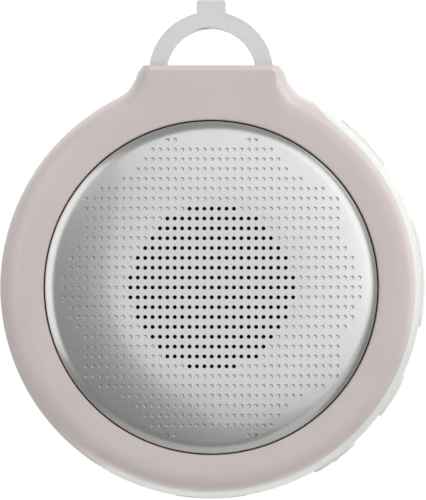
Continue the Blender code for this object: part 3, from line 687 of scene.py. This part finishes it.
def front_shell():
    """Rose shell: bezel ring, side wall and neck, recessed for the strip, loop and plungers."""
    side = math.degrees(math.atan2(NECK_HALF_WIDTH, NECK_TOP - NECK_CORNER))
    corner = math.degrees(math.atan2(NECK_HALF_WIDTH - NECK_CORNER, NECK_TOP))
    half = spread(0, corner, 14) + spread(corner, side, 3)[1:] + spread(side, 31, 18)[1:]
    angles = sorted({90 + sign * off for off in half for sign in (-1, 1)})
    angles += spread(121, 419, 200)[1:-1]
    shell = loft("front_shell_fine", [shell_section(angle) for angle in angles], sharp=28)

    recess = Panel(STRIP_ANGLES, STRIP_DEPTHS, STRIP_CORNER, STRIP_GAP)
    cutter = slab(
        "strip_recess",
        [recess.loop()], [0],
        recess.grid(1.5, 0.5),
        lambda place: recess.distance(place) > 0,
        lambda place, mark: on_body(place, 2.0),
        lambda place: on_body(place, -STRIP_THICKNESS - STRIP_GAP),
    )
    pocket_front, pocket_rear = LOOP_DEPTH + LOOP_THICKNESS / 2 + 0.6, NECK_REAR - 4
    pocket_low, pocket_height = LOOP_PIVOT - 2.0, 10
    pocket = block(
        "loop_pocket",
        (2 * LOOP_OUTER + 0.7, pocket_front - pocket_rear, pocket_height),
        at(0, pocket_low + pocket_height / 2, (pocket_front + pocket_rear) / 2),
        0.4,
    )
    pin_hole = pin("pin_hole", PIN_RADIUS + 0.08, PIN_HALF + 0.1)
    hole = disc(-4, 4, PLUNGER_RADIUS + PLUNGER_CLEARANCE)
    holes = [
        turned(f"{name}_hole_{i}", hole, 20, radial(angle, BODY_RADIUS - SHELL_WALL, BUTTON_MIDDLE))
        for name in BUTTONS
        for i, angle in enumerate(plungers(name))
    ]
    slot = block("port_slot", (12.4, 6.4, 8), at(0, -40.5, PORT_MIDDLE), 0.4)
    carve(shell, [cutter, pocket, pin_hole, *holes, slot], sharp=28)
    place_piece(shell, "housing", "rose_shell", "front_shell")


# ------------ rear shell and cup


def case_screw_places():
    """The x and z of each case screw, from the CAD."""
    places = []
    for i in range(1, 5):
        low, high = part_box(f"case_screw_{i}")
        middle = (low + high) / 2 / MM
        places.append((middle.x, middle.z))
    return places


def rear_shell():
    """White rear shell with its rounded edge, screw wells, a step round the cup and a spigot."""
    depths = spread(PARTING - SEAM_BEVEL[1], REAR_FACE + 0.12, 14)
    outline = [
        (0, REAR_FACE + 1.0),
        (14.2, REAR_FACE + 1.0),
        *arc((14.9, REAR_FACE + 0.6), 0.6, 180, 270, 5),
        *spread_line((16.5, REAR_FACE), (33.0, REAR_FACE), 3),
        *arc((33.6, REAR_FACE), 0.25, 180, 0, 7),
        (REAR_RADIUS - 1.5, REAR_FACE),
        *[(barrel(depth), depth) for depth in depths[::-1]],
        (barrel(PARTING) - SEAM_BEVEL[0], PARTING),
        (38.6, PARTING), (38.6, 24.0), (36.8, 24.0), (36.8, 18.6), (35.6, 16.8),
        (6.2, 16.8), (6.2, 21.4), (0, 21.4),
    ]
    shell = turned("rear_shell_fine", outline, 160)
    posts, cuts = [], [turned("stud_hole", disc(10, 20.4, 2.9), 24)]
    for i, (x, z) in enumerate(case_screw_places()):
        posts.append(turned(f"post_{i}", disc(15.5, 22.6, POST_RADIUS), 24, at(x, z)))
        cuts.append(turned(f"well_{i}", disc(13, HEAD_SEAT, WELL_RADIUS), 32, at(x, z)))
        cuts.append(turned(f"bore_{i}", disc(13, 23, BORE_RADIUS), 16, at(x, z)))
    carve(shell, posts, "UNION")
    carve(shell, cuts)
    place_piece(shell, "housing", "white_shell", "rear_shell")


def case_screws():
    """Pan-head screws with a cross recess, down the rear shell's wells."""
    head_radius, head_height, head_rounding = 2.4, 1.7, 0.9
    shank, groove, half_pitch = 1.2, 0.14, 0.35  # radius, and the thread's depth and half pitch
    slot_size = (2.6, 1.6, 0.55)
    for i, (x, z) in enumerate(case_screw_places(), start=1):
        node = f"case_screw_{i}"
        head_low, tip = edge(node, HIGH, DEPTH), edge(node, LOW, DEPTH)
        seat = head_low + head_height
        middle = (head_radius - head_rounding, head_low + head_rounding)
        outline = [
            (0, tip),
            (0.9, tip - 0.8),
            *[(shank - groove * (k % 2), tip - 1.2 - half_pitch * k) for k in range(28)],
            (shank, seat),
            (head_radius, seat),
            *arc(middle, head_rounding, 0, -90, 6),
            (0, head_low),
        ]
        screw = turned(node + "_fine", outline, 32, at(x, z))
        top = at(x, z, head_low)
        slots = [
            block(f"slot_{turn}", slot_size, top @ Matrix.Rotation(math.radians(turn), 4, "Y"))
            for turn in (25, 115)
        ]
        carve(screw, slots)
        place_piece(screw, "housing", "steel", node)


def suction_cup():
    """Frosted suction cup: a thin bell on a stepped neck, with a pull tab at its rim."""
    outline = [
        *smooth_path([(0.0, 5.4), (8, 4.9), (16, 3.4), (23, 1.5), (27.6, 0)]),
        *arc((30.0, 0.4), 0.4, -90, 0, 4),
        *smooth_path([(30.4, 0.75), (25, 4.0), (19, 6.6), (13, 8.4), (9.4, 9.6), (8.5, 11.0)]),
        (8.5, COLLAR_FRONT), (3.2, COLLAR_FRONT), (3.2, 10.6), (5.2, 10.6), (5.2, 7.6), (0, 7.6),
    ]
    cup = turned("suction_cup_fine", outline, 128)
    tab = block("cup_tab", (9, 1.6, 9), at(0, -32.5, 1.2), 0.7)
    ribs = [block(f"tab_rib_{i}", (6, 0.7, 0.6), at(0, -32.8 - 1.3 * i, 2.0), 0.2) for i in range(3)]
    carve(cup, [tab, *ribs], "UNION")
    place_piece(cup, "housing", "frosted_clear", "suction_cup")


def cup_collar():
    """White locking collar round the cup's neck, with a ribbed grip."""
    ribs, steps = 30, 240
    sections = []
    for i in range(steps):
        angle = 360 * i / steps
        dip = 0.3 * (0.5 - 0.5 * math.cos(math.radians(angle * ribs)))
        outline = [
            (COLLAR_BORE, COLLAR_FRONT), (COLLAR_RADIUS, COLLAR_FRONT), (COLLAR_RADIUS, 14.4),
            (COLLAR_RADIUS - dip, 14.1), (COLLAR_RADIUS - dip, 13.0), (14.0 - dip, 12.6),
            (13.0, 11.6), (12.6, 11.4), (COLLAR_BORE, 11.4),
        ]
        sections.append([point(radius, angle, depth) for radius, depth in outline])
    place_piece(loft("cup_collar_fine", sections), "housing", "white_shell", "cup_collar")


# ------------ grille


def lattice():
    """The centres of the grille's through holes and of its dimples."""
    holes, dimples = [], []
    columns = [*(range(-reach, reach + 1) for reach in ROW_REACH), LAST_ROW]
    for row in range(1 - len(columns), len(columns)):
        for column in columns[abs(row)]:
            place = Vector((column * PITCH[0], row * PITCH[1]))
            (holes if place.length <= HOLE_FIELD else dimples).append(place + LATTICE_SHIFT)
    return holes, dimples


def dome(radius):
    """Depth of the grille's front at a radius, inside its rolled rim."""
    share = max(radius - FLAT_FIELD, 0.0) / (GRILLE_RIM - FLAT_FIELD)
    return GRILLE_FACE - (GRILLE_FACE - GRILLE_EDGE) * share**2


def rim(tilt, trim=0.0):
    """The rolled rim's (radius, depth) where its surface leans tilt degrees from the front."""
    start, lean, end = EDGE_TILT, math.radians(tilt), math.radians(RIM_TILT)
    roll = (GRILLE_RADIUS - GRILLE_RIM) / (math.sin(end) - math.sin(start))
    radius = GRILLE_RIM + roll * (math.sin(lean) - math.sin(start))
    return radius - trim, GRILLE_EDGE - roll * (math.cos(start) - math.cos(lean)) - trim


def grille():
    """Domed metal sheet: a flat lattice of sound holes, dimples round it, and a rolled rim."""
    around, hole_sides, dimple_sides = 192, 12, 10
    holes, dimples = lattice()

    def circle(centre, radius, count):
        return arc(centre, radius, 0, 360 - 360 / count, count)

    def cell(place):
        return round(place.x / PITCH[0]), round(place.y / PITCH[1])

    hole_cells = {cell(place): place for place in holes}
    all_cells = {cell(place): place for place in holes + dimples}

    def clear(place, cells, reach=HOLE_RADIUS):
        """Whether a place is further than reach from the centre in its cell, if there is one."""
        centre = cells.get(cell(place))
        return centre is None or (place - centre).length > reach

    edge_loop = circle((0, 0), GRILLE_RIM, around)
    hole_loops = [circle(place, HOLE_RADIUS, hole_sides) for place in holes]
    dimple_loops = [circle(place, DIMPLE_RADIUS, dimple_sides) for place in dimples]
    free = []
    for radius in (18.5, 20.5, 22.5, 24.5, 26.5, 28.0, 29.2, 30.2, 30.9):
        spots = circle((0, 0), radius, int(math.tau * radius / 1.3))
        free += [spot for spot in map(Vector, spots) if clear(spot, all_cells, 0.62)]

    def on_front(place):
        return Vector((place.x, -dome(place.length), place.y)) * MM

    def on_back(place):
        """The sheet's back behind a place, drawn in a little outside the flat middle."""
        shrink = 1 - GRILLE_SHEET / GRILLE_RIM if place.length > FLAT_FIELD else 1.0
        depth = dome(place.length) - GRILLE_SHEET
        return Vector((place.x * shrink, -depth, place.y * shrink)) * MM

    bm = bmesh.new()
    flat, faces, rows = triangulate(
        [edge_loop, *hole_loops, *dimple_loops], free, lambda place: clear(place, all_cells)
    )
    upper = [bm.verts.new(on_front(place)) for place in flat]
    for face in faces:
        bm.faces.new([upper[i] for i in face])
    front_edge, *front_rings = [[upper[i] for i in row] for row in rows]
    for place, ring in zip(dimples, front_rings[len(holes) :]):
        top = on_front(place)
        sunk = top + (Vector((0.0, DIMPLE_DEPTH, 0.0)) + DIMPLE_SHIFT * DIMPLE_RADIUS) * MM
        inner = [bm.verts.new(sunk + (vert.co - top) * DIMPLE_FLOOR) for vert in ring]
        join_rings(bm, ring, inner)
        bm.faces.new(inner)

    flat, faces, rows = triangulate(
        [edge_loop, *hole_loops], free, lambda place: clear(place, hole_cells)
    )
    lower = [bm.verts.new(on_back(place)) for place in flat]
    for face in faces:
        bm.faces.new([lower[i] for i in face[::-1]])
    back_edge, *back_rings = [[lower[i] for i in row] for row in rows]
    for front, back in zip(front_rings, back_rings):
        for i in range(hole_sides):
            j = (i + 1) % hole_sides
            bm.faces.new((front[j], front[i], back[i], back[j]))

    profile = [rim(tilt) for tilt in (16, 20, 25, 30, 35, 40, 45, RIM_TILT)]
    profile += [(GRILLE_RADIUS, LEDGE), (GRILLE_RADIUS - GRILLE_SHEET, LEDGE)]
    profile += [rim(tilt, GRILLE_SHEET) for tilt in (RIM_TILT, 38, 25)]
    ring = front_edge
    for radius, depth in profile:
        outer = [bm.verts.new(point(radius, 360 * i / around, depth)) for i in range(around)]
        join_rings(bm, ring, outer)
        ring = outer
    join_rings(bm, ring, back_edge)
    place_piece(finish("grille_fine", bm, 30), "housing", "satin_silver", "grille")


# ------------ controls


def marks(name):
    """The raised marks on a button, each a list of points round it, about the button's middle."""
    long, thin = 0.9, 0.18  # half the length and half the width of a stroke
    bar = [(-long, -thin), (long, -thin), (long, thin), (-long, thin)]
    upright = [(y, x) for x, y in bar][::-1]
    if name == "play_button":
        bars = [[(x + off, y * 0.9) for x, y in upright] for off in (0.75, 1.45)]
        return [[(-1.5, -1.0), (0.1, 0.0), (-1.5, 1.0)], *bars]
    if name == "volume_rocker":
        arm = math.radians(ROCKER_ARM) * BODY_RADIUS
        corner = [(thin, thin), (thin, long), (-thin, long)]
        plus = list(corner)
        for _ in range(3):
            corner = [(-y, x) for x, y in corner]
            plus += corner
        return [[(x + arm, y) for x, y in plus], [(x - arm, y) for x, y in upright]]
    if name == "call_button":
        return [arc((0, 0), 0.75, 0, 340, 18)]
    ring = arc((0, 0), 1.15, 125, 415, 22) + arc((0, 0), 0.85, 415, 125, 22)
    return [ring, [(x, y + 0.75) for x, y in arc((0, 0), (0.18, 0.6), 0, 330, 12)]]


def shrunk(loop, inset):
    """A mark's outline moved in by about inset, towards each point's own neighbours."""
    points = [Vector(place) for place in loop]
    area = sum(a.x * b.y - b.x * a.y for a, b in zip(points, points[1:] + points[:1]))
    sign = 1 if area > 0 else -1
    moved = []
    for i, place in enumerate(points):
        before, after = points[i - 1], points[(i + 1) % len(points)]
        first, second = (place - before).normalized(), (after - place).normalized()
        normal = Vector((-first.y, first.x)) + Vector((-second.y, second.x))
        normal *= sign / max(normal.length_squared / 2, 0.3)
        moved.append(place + normal * inset)
    return moved


def button(name):
    """A rubber key with rounded edges, a raised mark and plungers to its switches."""
    panel = Panel(BUTTONS[name], BUTTON_DEPTHS, BUTTON_CORNER)
    loops = [panel.loop(share * BUTTON_ROLL, 0.9) for share in ROLL_STEPS]
    feet = [[Vector((x, y)) + panel.centre for x, y in mark] for mark in marks(name)]
    tops = [shrunk(foot, 0.07) for foot in feet]
    raised = range(len(loops) + len(feet), len(loops) + len(feet) + len(tops))

    def clear_of_marks(place):
        return all((place - spot).length > 0.35 for foot in feet for spot in foot)

    def top(place, mark):
        drop = fold_rounding(panel.distance(place), BUTTON_ROLL)
        return on_body(place, BUTTON_PROUD - drop + (MARK_HEIGHT if mark else 0.0))

    key = slab(
        name + "_fine",
        [*loops, *feet, *tops], [0],
        [spot for spot in panel.grid(0.8, BUTTON_ROLL + 0.2) if clear_of_marks(spot)],
        lambda place: panel.distance(place) > 0,
        top,
        lambda place: on_body(place, -BUTTON_SINK),
        raised,
    )
    outline = disc(0, BODY_RADIUS - PLUNGER_HEAD - PLUNGER_TIP, PLUNGER_RADIUS)
    shafts = [
        turned(f"plunger_{i}", outline, 20, radial(angle, PLUNGER_TIP, BUTTON_MIDDLE))
        for i, angle in enumerate(plungers(name))
    ]
    carve(key, shafts, "UNION")
    place_piece(key, name.split("_")[0] + "_key", "white_rubber", name)


def control_strip():
    """White rubber strip in its recess, open at each button and at the port."""
    panel = Panel(STRIP_ANGLES, STRIP_DEPTHS, STRIP_CORNER)
    openings = [
        Panel(angles, BUTTON_DEPTHS, BUTTON_CORNER, BUTTON_GAP) for angles in BUTTONS.values()
    ]
    openings.append(Panel(PORT_ANGLES, PORT_DEPTHS, BUTTON_CORNER, BUTTON_GAP))
    loops = [panel.loop(share * STRIP_ROLL) for share in (0.0, 0.4, 1.0)]
    walls = [0]
    for opening in openings:
        walls.append(len(loops))
        loops += [opening.loop(-share * STRIP_LIP) for share in ROLL_STEPS]

    def inside(place, margin=0.0):
        return panel.distance(place) > margin and all(
            opening.distance(place) < -margin for opening in openings
        )

    def top(place, mark):
        drop = fold_rounding(panel.distance(place), STRIP_ROLL)
        drop += sum(fold_rounding(-opening.distance(place), STRIP_LIP) for opening in openings)
        return on_body(place, -drop)

    strip = slab(
        "control_strip_fine",
        loops,
        walls,
        [spot for spot in panel.grid(1.3, 0.0) if inside(spot, 0.55)],
        inside,
        top,
        lambda place: on_body(place, -STRIP_THICKNESS),
    )
    place_piece(strip, "housing", "white_rubber", "control_strip")


def port_cover():
    """Rubber cover over the charging socket, with a thumb nick and a plug behind it."""
    panel = Panel(PORT_ANGLES, PORT_DEPTHS, BUTTON_CORNER)
    proud = 0.12
    nick = panel.centre + Vector((panel.half.x - 1.5, 0))
    nick_half, nick_depth = Vector((1.3, 2.6)), 0.45

    def top(place, mark):
        drop = fold_rounding(panel.distance(place), PORT_ROLL)
        off = place - nick
        dip = max(1 - (off.x / nick_half.x) ** 2 - (off.y / nick_half.y) ** 2, 0.0)
        return on_body(place, proud - drop - nick_depth * dip)

    cover = slab(
        "port_cover_fine",
        [panel.loop(share * PORT_ROLL, 0.9) for share in ROLL_STEPS], [0],
        panel.grid(0.5, PORT_ROLL + 0.15),
        lambda place: panel.distance(place) > 0,
        top,
        lambda place: on_body(place, -BUTTON_SINK),
    )
    plug = block("port_plug", (6.6, 3.0, 1.8), at(0.2, -41.2, PORT_MIDDLE), 0.3)
    carve(cover, [plug], "UNION")
    place_piece(cover, "port_flap", "white_rubber", "port_cover")


# ------------ hanging loop


def pin(name, radius, half_length):
    """A rod along X at the loop's pivot, with rounded ends."""
    lay = at(0, LOOP_PIVOT, LOOP_DEPTH) @ Matrix.Rotation(math.radians(90), 4, "Z")
    soft = 0.2
    outline = [
        (0, half_length),
        *arc((radius - soft, half_length - soft), soft, 90, 0, 4),
        *arc((radius - soft, soft - half_length), soft, 0, -90, 4),
        (0, -half_length),
    ]
    return turned(name, outline, 32, lay)


def hanging_loop():
    """Frosted loop with a finger tab, its legs rounded about the pin."""
    legs = 6  # steps down each side of a leg, below the ring
    bow = 64  # points round the inside of the ring
    foot = LOOP_PIVOT - LOOP_THICKNESS / 2
    tab_angle = math.degrees(math.asin(TAB_HALF_WIDTH / LOOP_OUTER))
    tab_low = LOOP_PIVOT + LOOP_OUTER * math.cos(math.radians(tab_angle))

    def outline(inset):
        """The loop's front view, in by inset; every inset has the same number of points."""
        outer, inner = LOOP_OUTER - inset, LOOP_INNER + inset
        half, top, low = TAB_HALF_WIDTH - inset, TAB_TOP - inset, foot + min(inset, 0.02)
        corner = max(TAB_CORNER - inset, 0.05)
        reach = math.degrees(math.asin(half / outer))
        return [
            *spread_line((outer, low), (outer, LOOP_PIVOT), legs + 1)[:-1],
            *arc((0, LOOP_PIVOT), outer, 0, 90 - reach, 40),
            *spread_line((half, tab_low + 0.4), (half, top - corner - 0.3), 4),
            *arc((half - corner, top - corner), corner, 0, 90, 5),
            *spread_line((half - corner - 0.3, top), (corner + 0.3 - half, top), 6),
            *arc((corner - half, top - corner), corner, 90, 180, 5),
            *spread_line((-half, top - corner - 0.3), (-half, tab_low + 0.4), 4),
            *arc((0, LOOP_PIVOT), outer, 90 + reach, 180, 40),
            *spread_line((-outer, LOOP_PIVOT), (-outer, low), legs + 1)[1:],
            *spread_line((-inner, low), (-inner, LOOP_PIVOT), legs + 1)[:-1],
            *arc((0, LOOP_PIVOT), inner, 180, 0, bow),
            *spread_line((inner, LOOP_PIVOT), (inner, low), legs + 1)[1:],
        ]

    bm = bmesh.new()
    rows = {}
    for side in (-1, 1):
        for share in ROLL_STEPS:
            inset = share * LOOP_ROLL
            lift = LOOP_THICKNESS / 2 - fold_rounding(inset, LOOP_ROLL)
            row = []
            for x, z in outline(inset):
                below = max(LOOP_PIVOT - z, 0.0)
                half = math.sqrt(max((LOOP_THICKNESS / 2) ** 2 - below**2, 0.0))
                depth = LOOP_DEPTH + side * min(lift, half)
                row.append(bm.verts.new(Vector((x, -depth, z)) * MM))
            rows[side, share] = row
    order = [rows[1, share] for share in ROLL_STEPS[::-1]]
    order += [rows[-1, share] for share in ROLL_STEPS]
    count = len(order[0])
    for first, second in zip(order, order[1:]):
        join_rings(bm, first, second)
    left = count - 3 * legs - bow  # where the left leg starts, on the outside
    for side in (-1, 1):
        row = rows[side, 1.0]
        caps = [[*row[legs:left], *row[left + 2 * legs : count - legs]]]  # the ring, then the legs
        for k in range(legs):
            caps.append([row[legs - k - 1], row[legs - k], row[k - legs - 1], row[k - legs]])
            inner_left = left + 2 * legs - k
            caps.append([row[left + k - 1], row[left + k], row[inner_left - 1], row[inner_left]])
        for cap in caps:
            face = bm.faces.new(cap if side == 1 else cap[::-1])
            bmesh.ops.triangulate(bm, faces=[face])
    bmesh.ops.remove_doubles(bm, verts=bm.verts, dist=2e-6)
    loop = finish("hanging_loop_fine", bm, 10)
    carve(loop, [pin("loop_bore", PIN_RADIUS + 0.1, 20.0)], sharp=10)
    place_piece(loop, "loop", "frosted_clear", "hanging_loop")
    rod = pin("loop_pin_fine", PIN_RADIUS, PIN_HALF)
    place_piece(rod, "housing", "steel", "loop_pin")


# ------------ stage


TARGET = Vector((0.00037, -0.033, 0.00756))  # what the camera looks at
VIEW_HEIGHT = 0.10165  # metres of the speaker's plane that the frame shows
LENS = 800.0
SENSOR = 36.0
BACKDROP = 1.05  # brightness of the world where the camera sees it
SKYLIGHT = (0.27, 0.36)  # its light on the speaker from below and from level and above
FLOOR_SIZE, FLOOR_HEIGHT = 0.6, -0.7  # in metres


def camera():
    """Straight on, from far away, as a product is photographed."""
    data = bpy.data.cameras.new("camera")
    data.lens = LENS
    data.sensor_width = SENSOR
    data.clip_start, data.clip_end = 0.1, 20.0
    shot = bpy.data.objects.new("camera", data)
    shot.location = TARGET + Vector((0, -VIEW_HEIGHT * LENS / SENSOR, 0))
    shot.rotation_euler = (math.pi / 2, 0, 0)
    bpy.context.scene.collection.objects.link(shot)
    bpy.context.scene.camera = shot


def softbox(name, azimuth, elevation, width, height, radiance, roll=0.0, distance=1.0):
    """An area light aimed at the speaker; azimuth 0 is in front of it and 90 to its right.

    Its width and height are what they would be a metre off.
    """
    width, height = width * distance, height * distance
    data = bpy.data.lights.new(name, "AREA")
    data.shape = "RECTANGLE"
    data.size, data.size_y = width, height
    data.energy = 4 * width * height * radiance
    turn, rise = math.radians(azimuth), math.radians(elevation)
    way = Vector(
        (math.sin(turn) * math.cos(rise), -math.cos(turn) * math.cos(rise), math.sin(rise))
    )
    lamp = bpy.data.objects.new(name, data)
    lamp.location = TARGET + way * distance
    aim = way.to_track_quat("Z", "Y").to_matrix() @ Matrix.Rotation(math.radians(roll), 3, "Z")
    lamp.rotation_euler = aim.to_euler()
    lamp.visible_camera = False
    bpy.context.scene.collection.objects.link(lamp)


def world():
    """A white backdrop that itself lights the speaker only a little."""
    made = bpy.data.worlds.new("studio")
    bpy.context.scene.world = made
    made.use_nodes = True
    nodes, links = made.node_tree.nodes, made.node_tree.links
    backdrop = nodes["Background"]
    backdrop.inputs["Color"].default_value = (1, 1, 1, 1)
    path = nodes.new("ShaderNodeLightPath")
    seen = nodes.new("ShaderNodeMath")
    seen.operation = "MAXIMUM"
    place = nodes.new("ShaderNodeTexCoord")
    height = nodes.new("ShaderNodeSeparateXYZ")
    low, high = SKYLIGHT
    dim = add_node(nodes, "MapRange", From_Min=-0.4, From_Max=0, To_Min=low, To_Max=high)
    links.new(place.outputs["Generated"], height.inputs["Vector"])
    links.new(height.outputs["Z"], dim.inputs["Value"])
    strength = add_node(nodes, "MapRange", To_Max=BACKDROP)
    links.new(dim.outputs["Result"], strength.inputs["To Min"])
    links.new(path.outputs["Is Camera Ray"], seen.inputs[0])
    links.new(path.outputs["Is Transmission Ray"], seen.inputs[1])
    links.new(seen.outputs["Value"], strength.inputs["Value"])
    links.new(strength.outputs["Result"], backdrop.inputs["Strength"])


def floor():
    """A plain pale floor well below the speaker, which hangs on a wall."""
    bm = bmesh.new()
    bmesh.ops.create_grid(bm, x_segments=8, y_segments=8, size=FLOOR_SIZE)
    bm.transform(Matrix.Translation((0, 0, FLOOR_HEIGHT)))
    ground = finish("floor", bm)
    pale = moulded("pale_floor", (0.68, 0.68, 0.67), 0.7, 2.0, 0.05)
    ground.data.materials.append(pale.material)


def lights():
    """A large soft light from the front right, with smaller ones round and behind the speaker."""
    softbox("key", 27, 17, 1.56, 1.35, 0.66, roll=15)
    softbox("key_right", 40, 18, 0.6, 0.9, 0.28)
    softbox("low_right", 42, -33, 0.6, 0.55, 0.35)
    softbox("left_panel", -73, 11, 1.0, 1.4, 0.75, distance=0.5)
    softbox("upper_left", -30, 26, 0.35, 0.45, 0.3)
    softbox("right_rear", 112, 22, 0.7, 1.3, 1.6)
    softbox("top_rear", 180, 68, 0.9, 0.5, 1.2)
    softbox("rear", 180, 20, 0.9, 0.6, 0.8)
    softbox("bottom_rear", 180, -45, 0.9, 0.6, 1.6, distance=0.6)


# ------------ assembly


def build():
    """Sets the stage, makes the modelled pieces and gives the CAD's own pieces their finishes."""
    bpy.context.scene.view_settings.view_transform = "Standard"
    camera()
    world()
    lights()
    floor()
    front_shell()
    rear_shell()
    case_screws()
    suction_cup()
    cup_collar()
    grille()
    control_strip()
    for name in BUTTONS:
        button(name)
    port_cover()
    hanging_loop()
    for part in frame["record"]["subparts"]:
        node = frame["nodes"][part["node"]]
        for slot in node.material_slots:
            slot.material = FINISHES[part["material_slot"]]


build()
